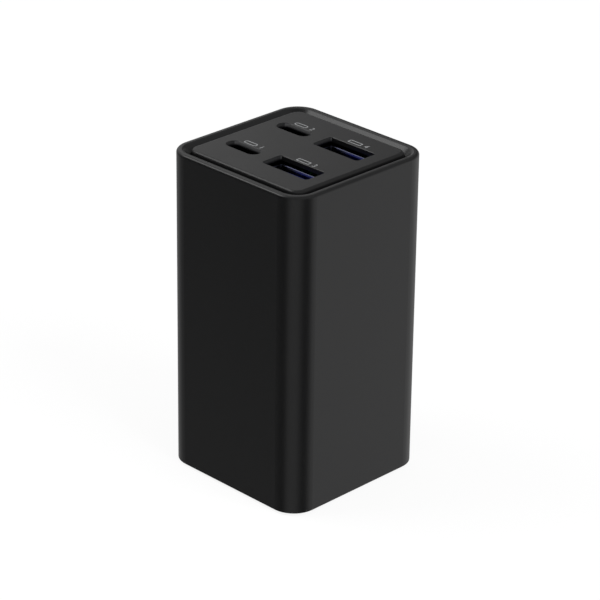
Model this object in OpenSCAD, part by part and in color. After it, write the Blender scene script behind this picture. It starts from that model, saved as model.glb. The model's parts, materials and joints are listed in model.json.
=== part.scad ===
// Desktop charging tower with four outlet ports in the top
// Millimetres, Z up. The origin is the middle of the foot pad's underside.
// X runs left to right and Y from front to back, as the ports are read.

/* [Housing] */
// Outside width of the sleeve, left to right
body_w = 40; // [40:0.5:60]
// Outside depth of the sleeve, front to back
body_d = 40; // [40:0.5:60]
// Height of the sleeve
body_h = 74.2; // [74:0.1:100]
// Corner radius of the sleeve, seen from above
corner_r = 5.8; // [5.6:0.1:8]
// Thickness of the sleeve's wall
wall = 2; // [1.9:0.05:2.2]
// Rounding of the sleeve's outer edge at the top
top_edge_r = 0.7; // [0.4:0.1:0.8]
// Rounding of the sleeve's outer edge at the bottom
bottom_edge_r = 0.2; // [0.1:0.1:0.5]

/* [Rim and port plate] */
// Width of the rim round the port plate
rim_w = 1.5; // [1.4:0.05:1.6]
// Rounding of the rim's inner edge
rim_edge_r = 0.8; // [0.4:0.05:0.9]
// Width of the groove between the rim and the port plate, at the top
groove_w = 1.75; // [1.4:0.05:1.8]
// Width of the groove at its floor, below the sleeve's slope
groove_floor_w = 0.35; // [0.3:0.05:0.6]
// Depth of the groove
groove_depth = 2; // [1.5:0.1:2.6]
// Thickness of the ledge that holds the port plate down
ledge_t = 1.2; // [0.8:0.1:1.6]
// Thickness of the port plate's top
plate_t = 1.1; // [0.9:0.1:1.4]
// Thickness of the port plate's side wall
plate_wall = 1.4; // [1:0.1:1.6]
// Thickness of the port plate's flange under the ledge
flange_t = 1.6; // [1.2:0.1:2]
// Rounding of the port plate's top edge
plate_edge_r = 0.75; // [0.5:0.05:0.9]

/* [Ports] */
// Distance between the front and the rear row of ports
row_pitch = 15.1; // [14:0.1:16]
// Place of the small ports left of the middle
small_port_x = 8.8; // [8.4:0.1:9.6]
// Place of the large ports right of the middle
large_port_x = 6.3; // [5.8:0.1:7]
// Width of a large port's opening
large_open_w = 13.3; // [13.2:0.05:13.6]
// Depth of a large port's opening, front to back
large_open_d = 5.7; // [5.6:0.05:6]
// Corner radius of a large port's opening
large_open_r = 0.7; // [0.4:0.1:1]
// Width of a small port's opening
small_open_w = 9.3; // [9:0.05:9.6]
// Depth of a small port's opening, front to back
small_open_d = 3.4; // [3.2:0.05:3.6]
// Chamfer round each opening
open_chamfer = 0.1; // [0.05:0.05:0.4]

/* [Large receptacles] */
// Outside width of the shell
large_shell_w = 13.1; // [13:0.05:13.2]
// Outside depth of the shell
large_shell_d = 5.72; // [5.7:0.01:5.8]
// Thickness of the shell's sheet metal
shell_t = 0.3; // [0.2:0.05:0.35]
// Height of the shell above the port board
large_shell_h = 10; // [9:0.1:11]
// Distance from the port plate's top down to the shell's mouth
large_mouth_depth = 2; // [1.6:0.1:2.4]
// Width of the tongue
large_tongue_w = 11.1; // [10.8:0.1:11.2]
// Thickness of the tongue
large_tongue_t = 1.84; // [1.7:0.02:1.9]
// Gap between the tongue's back and the shell
large_tongue_gap = 0.7; // [0.6:0.05:0.8]
// Distance from the shell's mouth down to the tongue's tip
large_tip_depth = 0.8; // [0.3:0.1:1]

/* [Small receptacles] */
// Outside width of the shell
small_shell_w = 8.94; // [8.9:0.01:8.98]
// Outside depth of the shell
small_shell_d = 3.16; // [3.12:0.01:3.18]
// Distance from the port plate's top down to the shell's mouth
small_mouth_depth = 2.3; // [1.8:0.1:2.6]
// Width of the tongue
small_tongue_w = 6.69; // [6.6:0.01:6.7]
// Thickness of the tongue
small_tongue_t = 0.7; // [0.66:0.01:0.74]
// Distance from the shell's mouth down to the tongue's tip
small_tip_depth = 0.6; // [0.4:0.1:1]

/* [Base] */
// Thickness of the base cover
cover_t = 2.2; // [1.8:0.1:2.6]
// Width of the sleeve's lip round the base cover
lip_w = 1.1; // [1:0.05:1.2]
// Thickness of the foot pad
pad_t = 1.2; // [1:0.1:1.4]
// Depth of the foot pad's seat in the base cover
pad_seat = 0.6; // [0.5:0.1:0.8]
// Outside width of the foot pad
pad_w = 31; // [28:0.5:32]
// Corner radius of the foot pad
pad_r = 3.8; // [2:0.2:5]
// Height of the clips above the base cover
clip_h = 6.4; // [6:0.2:7]
// Width of a clip
clip_w = 6; // [4:0.5:7]

/* [Power inlet] */
// Radius of each lobe of the inlet's well
lobe_r = 4.15; // [4.1:0.05:4.2]
// Distance between the lobes' middles
lobe_pitch = 7.3; // [7.2:0.05:7.4]
// Height of the well at its waist
waist_h = 6; // [5.6:0.1:6.4]
// Depth of the well from the sleeve's outer face
well_depth = 10.6; // [10:0.1:11.2]
// Distance between the two pins
pin_pitch = 8.6; // [8.5:0.05:8.7]
// Diameter of a pin
pin_d = 2.4; // [2.3:0.02:2.42]
// Distance from the sleeve's outer face in to a pin's tip
pin_recess = 1.4; // [1:0.1:2]
// Width of the inlet's housing
inlet_w = 19; // [18:0.2:20]
// Height of the inlet's housing
inlet_h = 11.4; // [11:0.1:12]
// Depth of the inlet's housing
inlet_d = 12.4; // [12:0.1:13]

/* [Boards] */
// Thickness of each circuit board
board_t = 1.2; // [1:0.1:1.6]
// Height of the input board above the base cover
input_board_lift = 2.4; // [2.2:0.1:3]
// Width of a solder tab where one board stands on another
tab_w = 5; // [4:0.5:6]
// Height of the surface-mounted chips
chip_t = 0.9; // [0.7:0.05:1]
// Diameter of the component leads
lead_d = 0.8; // [0.6:0.05:0.9]
// Length of a lead past its board
lead_end = 0.8; // [0.5:0.1:0.9]

/* [Transformer] */
// Width of the core
core_w = 24; // [23:0.5:26]
// Depth of the core
core_d = 12; // [11:0.5:13]
// Thickness of the core's outer legs
core_leg = 2.6; // [2.4:0.1:2.8]
// Thickness of the core's end bars
core_bar = 3; // [2.6:0.1:3.4]
// Diameter of the core's middle leg
core_post_d = 8; // [7:0.2:8.4]
// Diameter of the winding with its tape
winding_d = 17.6; // [16:0.2:17.8]
// Wall of the bobbin
bobbin_wall = 0.8; // [0.6:0.1:1]

/* [Capacitors] */
// Diameter of the bulk capacitors
bulk_d = 12.5; // [10:0.5:13]
// Diameter of the output capacitors
output_cap_d = 6.3; // [5:0.1:6.6]
// Width of the film capacitor
film_w = 13; // [12:0.5:13.5]
// Depth of the film capacitor
film_d = 6; // [5:0.5:6.5]
// Height of the film capacitor
film_h = 11; // [9:0.5:11.5]

/* [Choke] */
// Outside diameter of the choke's core
choke_d = 12; // [11:0.2:12.4]
// Diameter of the choke's hole
choke_hole_d = 6.8; // [6.6:0.1:7.2]
// Height of the choke's core
choke_h = 5; // [4:0.2:6]
// Diameter of the choke's wire
choke_wire_d = 0.9; // [0.7:0.05:0.9]

/* [Fits] */
// Gap between the port plate's island and the ledge
plate_gap = 0.1; // [0.05:0.05:0.2]
// Gap between the flange and the sleeve's wall
flange_gap = 0.2; // [0.1:0.05:0.3]
// Gap between the base cover and the sleeve's lip
cover_gap = 0.1; // [0.05:0.05:0.2]
// Gap between the heat spreaders and the sleeve's wall
spreader_gap = 0.1; // [0.05:0.05:0.2]
// Gap round a lead, a tab or a shell leg in its board
board_gap = 0.12; // [0.1:0.01:0.2]
// Gap round a pin or a post in its hole
pin_gap = 0.05; // [0.03:0.01:0.1]

/* [Heat parts] */
// Thickness of the heat spreaders
spreader_t = 0.5; // [0.4:0.05:0.6]
// Thickness of the insulation wrap
insulation_t = 0.3; // [0.2:0.05:0.35]
// Thickness of the thermal pads at the main board
front_pad_t = 1; // [0.6:0.1:1.1]
// Thickness of the thermal pads at the output board
rear_pad_t = 0.4; // [0.3:0.05:0.6]

/* [Hidden] */

$fn = 64;
// Overshoot of a cutting shape past the face it cuts
over = 0.5;
// Row signs: the front row is towards -Y and the rear row towards +Y
front = -1;
rear = 1;
left = -1;
right = 1;

// Heights, from the surface that the tower stands on
sleeve_z = pad_t - pad_seat;
top_z = sleeve_z + body_h;
cover_top_z = sleeve_z + cover_t;
groove_z = top_z - groove_depth;
ledge_z = groove_z - ledge_t;
flange_z = ledge_z - flange_t;
input_board_z = cover_top_z + input_board_lift;
input_top_z = input_board_z + board_t;
port_top_z = top_z - large_mouth_depth - large_shell_h;
port_board_z = port_top_z - board_t;
inlet_z = input_top_z + inlet_h / 2;

// Inner faces of the sleeve
inner_x = body_w / 2 - wall;
inner_y = body_d / 2 - wall;
inner_r = corner_r - wall;

// The port plate's island, inside the groove
island_in = rim_w + groove_w;
// The sleeve slopes down from the rim to the groove's floor at 45 degrees
slope = groove_w - groove_floor_w;
slope_turn = 45;
slope_edge = rim_edge_r * tan(slope_turn / 2);
island_w = body_w - 2 * island_in;
island_d = body_d - 2 * island_in;
island_r = corner_r - island_in;

// Layers between the sleeve's wall and the boards
spreader_in = wall + spreader_gap;
insulation_in = spreader_in + spreader_t;
lining_in = insulation_in + insulation_t;
main_back_y = -body_d / 2 + lining_in + front_pad_t + chip_t;
main_face_y = main_back_y + board_t;
output_back_y = body_d / 2 - lining_in - rear_pad_t - chip_t;
output_face_y = output_back_y - board_t;
port_board_in = lining_in + spreader_gap;
board_side_room = 1.6;
board_half_x = body_w / 2 - lining_in - board_side_room;

// Ports: one small and one large in each row
function row_y(row) = row * row_pitch / 2;

// Large receptacle: a moulded base with the tongue on it, inside the shell
large_base_h = 1.8;
large_corner_r = 0.8;
large_inner_w = large_shell_w - 2 * shell_t;
large_inner_d = large_shell_d - 2 * shell_t;
large_inner_r = large_corner_r - shell_t;
large_tongue_y = large_inner_d / 2 - large_tongue_gap - large_tongue_t / 2;
large_tongue_h = large_shell_h - large_tip_depth;
tongue_bevel = 0.4;
contact_count = 4;
contact_w = 1;
contact_t = 0.2;
contact_tip_gap = 1;
inner_contact_x = 1;
outer_contact_x = 3.5;

// Small receptacle: contacts on both faces of its tongue
small_shell_h = top_z - small_mouth_depth - port_top_z;
small_base_h = 1.6;
small_inner_w = small_shell_w - 2 * shell_t;
small_inner_d = small_shell_d - 2 * shell_t;
small_tongue_h = small_shell_h - small_tip_depth;
fine_contacts = 12;
fine_pitch = 0.5;
fine_w = 0.25;
fine_t = 0.05;
fine_tip_gap = 0.4;
fine_l = small_tongue_h - small_base_h - fine_tip_gap;

// Legs that fix a shell in the port board
leg_w = 1.6;

// Power inlet: each pin has a flat shank through the housing and a solder tail behind it
well_floor_y = body_d / 2 - well_depth;
shank_w = 1.6;
shank_t = 1;
tail_t = 0.8;
tail_room = 0.6;
tail_y = inner_y - inlet_d - tail_room;

// Input board, with room for the clips at its sides
clip_t = 1;
clip_gap = 0.2;
clip_barb = 0.6;
clip_barb_h = 1.6;
clip_y = 8;
clip_room = 1;
input_front_room = 1.8;
input_rear_room = 0.6;
input_half_x = inner_x - clip_gap - clip_t - clip_room;
input_front_y = -inner_y + input_front_room;
input_rear_y = inner_y - input_rear_room;
post_d = 3;
post_in_x = 2.2;
post_in_y = 5;
post_x = input_half_x - post_in_x;
post_y = inner_y - post_in_y;

// Screws that hold the port board to the port plate
boss_d = 4.8;
boss_bite = 0.2;
boss_x = island_w / 2 - plate_wall - boss_d / 2 + boss_bite;
pilot_d = 1.6;
pilot_depth = 7;
screw_l = 6;
screw_head_d = 3.8;
screw_head_h = 1.2;
screw_slot_w = 0.5;
screw_hole_d = 2.2;

// Sizes of bought parts: width, depth along the board, and height where there is a third
bridge_size = [10, 8];
switch_size = [8, 8];
rectifier_size = [5, 6];
controller_size = [5, 5];
inductor_size = [8, 8, 4.8];
port_inductor_size = [6.6, 6.6, 3];
// Room between the parts on a board
board_room = 1.4;

// Bulk capacitors lie side by side under the port board's parts and end before the output board's
bulk_room = 0.5;
bulk_top_room = 2.6;
bulk_under_room = 1.5;
bulk_x = bulk_d / 2 + bulk_room;
bulk_z = port_board_z - port_inductor_size[2] - bulk_top_room - bulk_d / 2;
bulk_l = output_face_y - main_face_y - inductor_size[2] - board_room;
bulk_pitch = 5;
crimp_h = 2;
crimp_r = 0.5;
crimp_depth = 0.3;
can_edge_r = 1;
vent_l = bulk_d - 5 * can_edge_r;
vent_w = 0.3;

// Transformer: it takes the height between the inlet and the bulk capacitors
flange_rim = 0.3;
flange_d = winding_d + 2 * flange_rim;
flange_h = 1;
flange_lift = 0.6;
core_y = main_face_y + flange_lift + flange_d / 2;
core_room = 4;
core_z = inlet_z + inlet_h / 2 + core_room;
core_h = bulk_z - bulk_d / 2 - bulk_under_room - core_z;
core_mid_z = core_z + core_h / 2;
window_h = core_h - 2 * core_bar;
bobbin_in_d = core_post_d + 2 * pin_gap;
bobbin_out_d = bobbin_in_d + 2 * bobbin_wall;
rail_w = 16;
rail_h = 2;
rail_room = 0.4;
transformer_pins = 5;
transformer_pin_pitch = 3;
pin_root = 0.5;

// Input board parts
film_x = -board_half_x + board_room / 2 + film_w / 2;
film_y = main_face_y + board_room + film_d / 2;
film_pitch = 10;
block_bevel = 0.7;
choke_x = 7.6;
choke_y = main_face_y + board_room + choke_d / 2 + choke_wire_d;
choke_turns = 7;
choke_step = 18;
choke_gap = 0.06;
choke_bend = 0.1;
choke_lead_d = choke_wire_d - 0.12;
choke_ring_r = (choke_d + choke_hole_d) / 4;
choke_ring_w = (choke_d - choke_hole_d) / 2;
choke_base = choke_wire_d + choke_gap;
choke_lead_r = choke_d / 2 + choke_gap + choke_wire_d / 2;
choke_end_angle = (choke_turns - 1) / 2 * choke_step;
// The fuse stands beside the inlet, and its leads pass in front of the rear post
fuse_w = 4;
fuse_l = 8.5;
fuse_h = 8;
fuse_room = 0.8;
fuse_pitch = 5;
fuse_x = -inlet_w / 2 - fuse_room - fuse_w / 2;
fuse_y = post_y - (post_d + lead_d) / 2 - board_gap - fuse_pitch / 2;
thermistor_d = 8;
thermistor_t = 3.5;
thermistor_x = film_x;
thermistor_y = film_y + film_d / 2 + board_room + thermistor_t / 2;
thermistor_lift = 1;
thermistor_pitch = 5;

// Disc capacitor beside the transformer
disc_d = 7;
disc_t = 2.6;
disc_x = core_w / 2 + bulk_room + disc_t / 2;
disc_pitch = 5;
disc_lift = 1;

// Chips and thermal pads on the main board's outer face
bridge_z = inlet_z + inlet_h / 2;
switch_z = core_mid_z;
pad_margin = 1;

// Output board
output_room = 2.4;
output_edge = 2;
output_z = inlet_z + inlet_h / 2 + output_room;
output_cap_z = output_z + output_edge + output_cap_d / 2;
output_cap_l = output_face_y - core_y - flange_d / 2 - board_room;
output_lead_d = 0.6;
output_cap_count = 4;
output_cap_pitch = 7.5;
output_cap_lead_pitch = 2.5;
inductor_bevel = 1.4;
inductor_x = 7;
inductor_z = output_cap_z + output_cap_d / 2 + board_room + inductor_size[1] / 2;
rectifier_x = 6;
rectifier_z = core_mid_z;
controller_x = 6;

// Linings
spreader_room = 0.8;
spreader_z = cover_top_z + clip_h + spreader_room;
spreader_top_z = port_board_z - spreader_room;
spreader_side_y = 9;
insulation_side_y = 12;
rear_spreader_z = output_z - spreader_room;
rear_spreader_w = 27;
rear_insulation_w = 29;

// Colours
housing_black = "#2b2c2f";
plate_black = "#38393c";
rubber_black = "#1d1d1e";
metal_silver = "#b9bcc0";
tongue_blue = "#1c3fa8";
moulding_black = "#202123";
contact_gold = "#c9a24a";
board_green = "#1f5c3a";
ferrite_grey = "#4a4b4e";
tape_yellow = "#d8b62c";
film_yellow = "#d9c25a";
copper = "#b56a35";
can_sleeve = "#23252b";
disc_blue = "#3c6fb0";
thermistor_green = "#3f6b4a";
chip_black = "#1a1a1b";
pad_grey = "#9aa0a8";
insulation_white = "#e6e4da";

// Rounded rectangle, centred
module rounded_rect(w, d, r) {
    square([w - 2 * r, d], center = true);
    square([w, d - 2 * r], center = true);
    for (sx = [-1, 1], sy = [-1, 1])
        translate([sx * (w / 2 - r), sy * (d / 2 - r)])
            circle(r);
}

// Slot with round ends, centred, along X
module pill(w, d) {
    square([w - d, d], center = true);
    for (sx = [-1, 1])
        translate([sx * (w - d) / 2, 0])
            circle(d = d);
}

module rounded_block(w, d, r, h) {
    linear_extrude(h)
        rounded_rect(w, d, r);
}

// What a fillet takes off a corner at the origin, where the solid lies towards +X and +Y
module fillet_waste(r) {
    difference() {
        translate([-over, -over])
            square(r + over);
        translate([r, r])
            circle(r);
    }
}

// Runs a profile round a rounded rectangle w by d with corner radius r.
// In the profile X is the distance out from the rectangle and Y is the height.
module sweep_round(w, d, r) {
    for (side = [0:3]) {
        across = side % 2 == 0 ? w : d;
        along = side % 2 == 0 ? d : w;
        rotate([0, 0, 90 * side]) {
            if (along - 2 * r > 0)
                translate([across / 2, along / 2 - r, 0])
                    rotate([90, 0, 0])
                        linear_extrude(along - 2 * r)
                            children();
            translate([across / 2 - r, along / 2 - r, 0])
                rotate_extrude(angle = 90)
                    translate([r, 0])
                        children();
        }
    }
}

// A lead or pin along -Z through a board whose top is at z = 0
module lead_down(d = lead_d, start = 0) {
    translate([0, 0, -board_t - lead_end])
        cylinder(d = d, h = board_t + lead_end + start);
}

module lead_hole(d = lead_d) {
    translate([0, 0, -board_t - over])
        cylinder(d = d + 2 * board_gap, h = board_t + 2 * over);
}

// Places children on the main board's inner face, with their Z along the board's normal
module on_main_board(x, z) {
    translate([x, main_face_y, z])
        rotate([-90, 0, 0])
            children();
}

module on_output_board(x, z) {
    translate([x, output_face_y, z])
        rotate([90, 0, 0])
            children();
}

module on_input_board(x, y) {
    translate([x, y, input_top_z])
        children();
}

module pair_of(pitch) {
    for (s = [-1, 1])
        translate([s * pitch / 2, 0, 0])
            children();
}

// Housing

module sleeve_profile() {
    difference() {
        polygon([
            [0, sleeve_z],
            [0, top_z],
            [-rim_w, top_z],
            [-rim_w - slope, top_z - slope],
            [-rim_w - slope, groove_z],
            [plate_gap - island_in, groove_z],
            [plate_gap - island_in, ledge_z],
            [-wall, ledge_z],
            [-wall, cover_top_z],
            [-lip_w, cover_top_z],
            [-lip_w, sleeve_z]
        ]);
        translate([0, top_z])
            rotate(180)
                fillet_waste(top_edge_r);
        translate([0, sleeve_z])
            rotate(90)
                fillet_waste(bottom_edge_r);
        rim_edge_waste();
    }
}

// What the rounding takes off the edge between the rim and the slope
module rim_edge_waste() {
    reach = rim_edge_r + over;
    translate([slope_edge - rim_w, top_z - rim_edge_r])
        difference() {
            polygon([[0, 0], [0, reach], [-reach * sin(slope_turn), reach * cos(slope_turn)]]);
            circle(rim_edge_r);
        }
}

// Outline of the inlet's well, seen from the back
module well_outline() {
    pair_of(lobe_pitch)
        circle(lobe_r);
    square([lobe_pitch, waist_h], center = true);
}

// Stands a drawing up on the back face, with its depth going inwards from y
module from_back(y, depth) {
    translate([0, y, inlet_z])
        rotate([90, 0, 0])
            linear_extrude(depth)
                children();
}

// Places children at the root of each clip, on the sleeve's inner wall, with X outwards
module clip_places() {
    for (turn = [0, 180], sy = [-1, 1])
        rotate([0, 0, turn])
            translate([inner_x, sy * clip_y, cover_top_z])
                children();
}

// Side view of a clip: an arm that stands up from the cover, with a barb that snaps outwards
module clip_profile() {
    polygon([
        [-clip_gap - clip_t, 0],
        [-clip_gap - clip_t, clip_h - clip_t / 2],
        [-clip_gap - clip_t / 2, clip_h],
        [-clip_gap, clip_h],
        [clip_barb, clip_h - clip_barb_h / 2],
        [clip_barb, clip_h - clip_barb_h],
        [-clip_gap, clip_h - clip_barb_h],
        [-clip_gap, 0]
    ]);
}

// Pocket in the sleeve's wall for a clip's barb
module clip_pocket() {
    translate([-over, -clip_w / 2 - clip_gap, clip_h - clip_barb_h - clip_gap / 2])
        cube([over + clip_barb + clip_gap, clip_w + 2 * clip_gap, clip_barb_h + clip_gap]);
}

module sleeve() {
    color(housing_black)
        difference() {
            sweep_round(body_w, body_d, corner_r)
                sleeve_profile();
            clip_places()
                clip_pocket();
            from_back(body_d / 2 + over, wall + 2 * over)
                well_outline();
        }
}

module plate_profile() {
    difference() {
        polygon([
            [-island_in, top_z],
            [-island_in, ledge_z],
            [-wall - flange_gap, ledge_z],
            [-wall - flange_gap, flange_z],
            [-island_in - plate_wall, flange_z],
            [-island_in - plate_wall, top_z]
        ]);
        translate([-island_in, top_z])
            rotate(180)
                fillet_waste(plate_edge_r);
    }
}

// Chamfer round an opening w by d with corner radius r in the port plate's top
module opening_chamfer(w, d, r) {
    sweep_round(w, d, r)
        polygon([
            [-open_chamfer, top_z - open_chamfer],
            [0, top_z - open_chamfer],
            [open_chamfer + over, top_z + over],
            [-open_chamfer, top_z + over]
        ]);
}

module large_opening() {
    translate([0, 0, top_z - plate_t - over])
        rounded_block(large_open_w, large_open_d, large_open_r, plate_t + 2 * over);
    opening_chamfer(large_open_w, large_open_d, large_open_r);
}

module small_opening() {
    translate([0, 0, top_z - plate_t - over])
        linear_extrude(plate_t + 2 * over)
            pill(small_open_w, small_open_d);
    opening_chamfer(small_open_w, small_open_d, small_open_d / 2);
}

module boss() {
    translate([0, 0, port_top_z])
        cylinder(d = boss_d, h = top_z - port_top_z - plate_t / 2);
}

module port_plate() {
    color(plate_black)
        difference() {
            union() {
                sweep_round(body_w, body_d, corner_r)
                    plate_profile();
                translate([0, 0, top_z - plate_t])
                    rounded_block(
                        island_w - plate_wall, island_d - plate_wall, island_r - plate_wall / 2, plate_t
                    );
                for (side = [left, right])
                    translate([side * boss_x, 0, 0])
                        boss();
            }
            for (row = [front, rear]) {
                translate([large_port_x, row_y(row), 0])
                    large_opening();
                translate([-small_port_x, row_y(row), 0])
                    small_opening();
            }
            for (side = [left, right])
                translate([side * boss_x, 0, port_top_z - over])
                    cylinder(d = pilot_d, h = pilot_depth + over);
        }
}

module base_cover() {
    cover_w = body_w - 2 * (lip_w + cover_gap);
    cover_d = body_d - 2 * (lip_w + cover_gap);
    color(housing_black) {
        difference() {
            translate([0, 0, sleeve_z])
                rounded_block(cover_w, cover_d, corner_r - lip_w - cover_gap, cover_t);
            translate([0, 0, sleeve_z - over])
                rounded_block(pad_w, pad_w, pad_r, pad_seat + over);
        }
        for (sx = [-1, 1], sy = [-1, 1])
            translate([sx * post_x, sy * post_y, cover_top_z])
                cylinder(d = post_d, h = input_board_lift);
        clip_places()
            rotate([90, 0, 0])
                linear_extrude(clip_w, center = true)
                    clip_profile();
    }
}

module foot_pad() {
    color(rubber_black)
        rounded_block(pad_w, pad_w, pad_r, pad_t);
}

// Power inlet

module inlet_housing() {
    color(moulding_black)
        difference() {
            translate([-inlet_w / 2, inner_y - inlet_d, inlet_z - inlet_h / 2])
                cube([inlet_w, inlet_d, inlet_h]);
            from_back(inner_y + over, well_depth - wall + over)
                well_outline();
            pair_of(pin_pitch)
                translate([0, well_floor_y, inlet_z])
                    cube([shank_w + 2 * pin_gap, inlet_d, shank_t + 2 * pin_gap], center = true);
        }
}

module inlet_pin(side) {
    tip_y = body_d / 2 - pin_recess;
    tip_r = pin_d / 2;
    color(metal_silver)
        translate([side * pin_pitch / 2, 0, inlet_z]) {
            translate([0, tip_y - tip_r, 0])
                rotate([90, 0, 0])
                    cylinder(d = pin_d, h = tip_y - tip_r - well_floor_y);
            translate([0, tip_y - tip_r, 0])
                sphere(tip_r);
            translate([-shank_w / 2, tail_y - tail_t, -shank_t / 2])
                cube([shank_w, well_floor_y - tail_y + tail_t + over, shank_t]);
            translate([-tail_t / 2, tail_y - tail_t, input_board_z - lead_end - inlet_z])
                cube([tail_t, tail_t, inlet_z - input_board_z + lead_end]);
        }
}

// Large receptacles

module large_shell(row) {
    color(metal_silver)
        translate([large_port_x, row_y(row), port_top_z]) {
            difference() {
                rounded_block(large_shell_w, large_shell_d, large_corner_r, large_shell_h);
                translate([0, 0, -over])
                    rounded_block(large_inner_w, large_inner_d, large_inner_r, large_shell_h + 2 * over);
            }
            shell_legs(large_shell_w);
        }
}

// Two legs that go through the port board at a shell's ends
module shell_legs(w) {
    pair_of(w - shell_t)
        translate([-shell_t / 2, -leg_w / 2, -board_t - lead_end])
            cube([shell_t, leg_w, board_t + lead_end + shell_t]);
}

module leg_holes(w) {
    pair_of(w - shell_t)
        translate([0, 0, -board_t / 2])
            cube([shell_t + 2 * board_gap, leg_w + 2 * board_gap, board_t + 2 * over], center = true);
}

module large_tongue(row) {
    color(tongue_blue)
        translate([large_port_x, row_y(row), port_top_z]) {
            rounded_block(large_inner_w, large_inner_d, large_inner_r, large_base_h);
            difference() {
                translate([-large_tongue_w / 2, large_tongue_y - large_tongue_t / 2, 0])
                    cube([large_tongue_w, large_tongue_t, large_tongue_h]);
                translate([0, large_tongue_y - large_tongue_t / 2, large_tongue_h])
                    rotate([45, 0, 0])
                        cube([large_tongue_w + over, tongue_bevel, tongue_bevel], center = true);
            }
        }
}

// The two inner contacts lie closer together than the outer ones
function contact_reach(i) = i == 0 || i == contact_count - 1 ? outer_contact_x : inner_contact_x;
function contact_x(i) = (i < contact_count / 2 ? -1 : 1) * contact_reach(i);

module large_contacts(row) {
    color(contact_gold)
        translate([large_port_x, row_y(row) + large_tongue_y - large_tongue_t / 2, port_top_z])
            for (i = [0:contact_count - 1])
                translate([contact_x(i) - contact_w / 2, -contact_t, large_base_h])
                    cube([contact_w, contact_t, large_tongue_h - large_base_h - contact_tip_gap]);
}

// Small receptacles

module small_shell(row) {
    color(metal_silver)
        translate([-small_port_x, row_y(row), port_top_z]) {
            difference() {
                linear_extrude(small_shell_h)
                    pill(small_shell_w, small_shell_d);
                translate([0, 0, -over])
                    linear_extrude(small_shell_h + 2 * over)
                        pill(small_inner_w, small_inner_d);
            }
            shell_legs(small_shell_w);
        }
}

module small_tongue(row) {
    color(moulding_black)
        translate([-small_port_x, row_y(row), port_top_z]) {
            linear_extrude(small_base_h)
                pill(small_inner_w, small_inner_d);
            translate([-small_tongue_w / 2, -small_tongue_t / 2, 0])
                cube([small_tongue_w, small_tongue_t, small_tongue_h]);
        }
}

module small_contacts(row) {
    color(contact_gold)
        translate([-small_port_x, row_y(row), port_top_z + small_base_h])
            for (i = [0:fine_contacts - 1], face = [-1, 1])
                translate([
                    (i - (fine_contacts - 1) / 2) * fine_pitch,
                    face * (small_tongue_t + fine_t) / 2,
                    fine_l / 2
                ])
                    cube([fine_w, fine_t, fine_l], center = true);
}

// Port board and what it carries

module tab_slot(y, z) {
    pair_of(board_half_x)
        translate([0, y, z])
            cube([tab_w + 2 * board_gap, board_t + 2 * board_gap, board_t + 2 * over], center = true);
}

module port_board() {
    color(board_green)
        difference() {
            translate([0, 0, port_board_z])
                rounded_block(
                    body_w - 2 * port_board_in,
                    body_d - 2 * port_board_in,
                    corner_r - port_board_in,
                    board_t
                );
            for (row = [front, rear]) {
                translate([large_port_x, row_y(row), port_top_z])
                    leg_holes(large_shell_w);
                translate([-small_port_x, row_y(row), port_top_z])
                    leg_holes(small_shell_w);
            }
            for (side = [left, right])
                translate([side * boss_x, 0, port_board_z - over])
                    cylinder(d = screw_hole_d, h = board_t + 2 * over);
            tab_slot((main_back_y + main_face_y) / 2, port_board_z + board_t / 2);
            tab_slot((output_back_y + output_face_y) / 2, port_board_z + board_t / 2);
        }
}

module port_board_screws() {
    color(metal_silver)
        for (side = [left, right])
            translate([side * boss_x, 0, port_board_z]) {
                cylinder(d = pilot_d - 2 * pin_gap, h = screw_l);
                difference() {
                    translate([0, 0, -screw_head_h])
                        cylinder(d = screw_head_d, h = screw_head_h);
                    for (turn = [0, 90])
                        rotate([0, 0, turn])
                            translate([0, 0, -screw_head_h])
                                cube([screw_head_d / 2, screw_slot_w, screw_head_h], center = true);
                }
            }
}

module port_controllers() {
    color(chip_black)
        pair_of(2 * controller_x)
            translate([0, 0, port_board_z - chip_t / 2])
                cube([controller_size[0], controller_size[1], chip_t], center = true);
}

// Moulded power inductor standing on z = 0, with its two end plates
module power_inductor(size) {
    translate([0, 0, size[2] / 2])
        difference() {
            cube(size, center = true);
            for (sx = [-1, 1], sy = [-1, 1])
                translate([sx * size[0] / 2, sy * size[1] / 2, 0])
                    rotate([0, 0, 45])
                        cube([inductor_bevel, inductor_bevel, size[2] + over], center = true);
        }
}

module port_inductors() {
    color(ferrite_grey)
        for (row = [front, rear], x = [-small_port_x, large_port_x])
            translate([x, row_y(row), port_board_z])
                rotate([180, 0, 0])
                    power_inductor(port_inductor_size);
}

// Input board and what it carries

module input_board() {
    mid_y = (input_front_y + input_rear_y) / 2;
    board_d = input_rear_y - input_front_y;
    tail_hole = tail_t + 2 * board_gap;
    color(board_green)
        difference() {
            translate([0, mid_y, input_board_z])
                rounded_block(2 * input_half_x, board_d, inner_r - clip_room, board_t);
            tab_slot((main_back_y + main_face_y) / 2, input_board_z + board_t / 2);
            on_input_board(film_x, film_y)
                pair_of(film_pitch)
                    lead_hole();
            on_input_board(fuse_x, fuse_y)
                rotate([0, 0, 90])
                    pair_of(fuse_pitch)
                        lead_hole();
            on_input_board(thermistor_x, thermistor_y)
                pair_of(thermistor_pitch)
                    lead_hole();
            on_input_board(choke_x, choke_y)
                choke_ends()
                    lead_hole(choke_lead_d);
            pair_of(pin_pitch)
                translate([0, tail_y - tail_t / 2, input_board_z + board_t / 2])
                    cube([tail_hole, tail_hole, board_t + 2 * over], center = true);
        }
}

// Moulded block along X on two leads, with its two long top edges bevelled
module leaded_block(w, d, h, pitch) {
    difference() {
        translate([0, 0, h / 2])
            cube([w, d, h], center = true);
        for (turn = [0, 180])
            rotate([0, 0, turn])
                translate([0, d / 2, h])
                    rotate([45, 0, 0])
                        cube([w + over, block_bevel, block_bevel], center = true);
    }
    pair_of(pitch)
        lead_down();
}

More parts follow.
